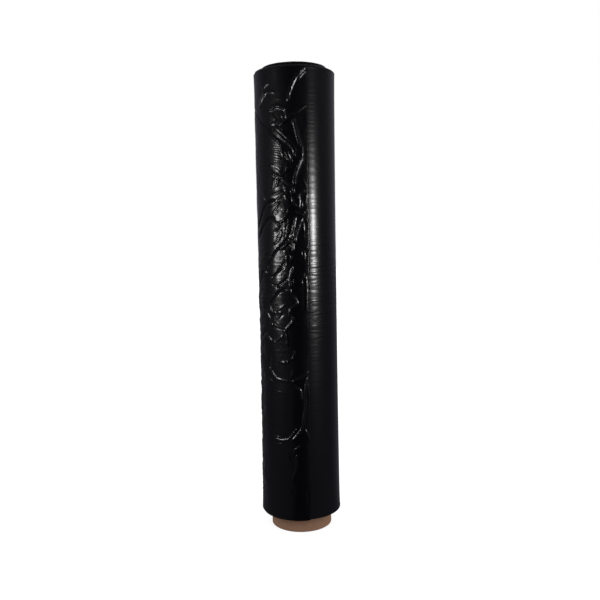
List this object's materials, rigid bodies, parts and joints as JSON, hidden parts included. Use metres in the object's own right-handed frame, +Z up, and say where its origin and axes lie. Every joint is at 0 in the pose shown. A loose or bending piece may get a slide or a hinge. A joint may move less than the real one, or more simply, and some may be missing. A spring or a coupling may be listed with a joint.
{
  "type": "stretch wrap roll",
  "caption": "Upright roll of black stretch film on a longer paperboard tube, for wrapping pallets and packs by hand.",
  "frame": {"origin": "middle of the tube's lower end, on the surface that the roll stands on", "axes": "+Z up along the roll's axis, from the bare foot of the tube to its film-covered head"},
  "size_m": [0.0816, 0.0816, 0.472],
  "materials": {
    "film": "glossy stretch film, wrinkled where the outer turn is loose",
    "paperboard": "plain spiral-wound brown paperboard, matte"
  },
  "bodies": {
    "root": {"film_roll": "film", "core_tube": "paperboard"}
  },
  "joints": []
}
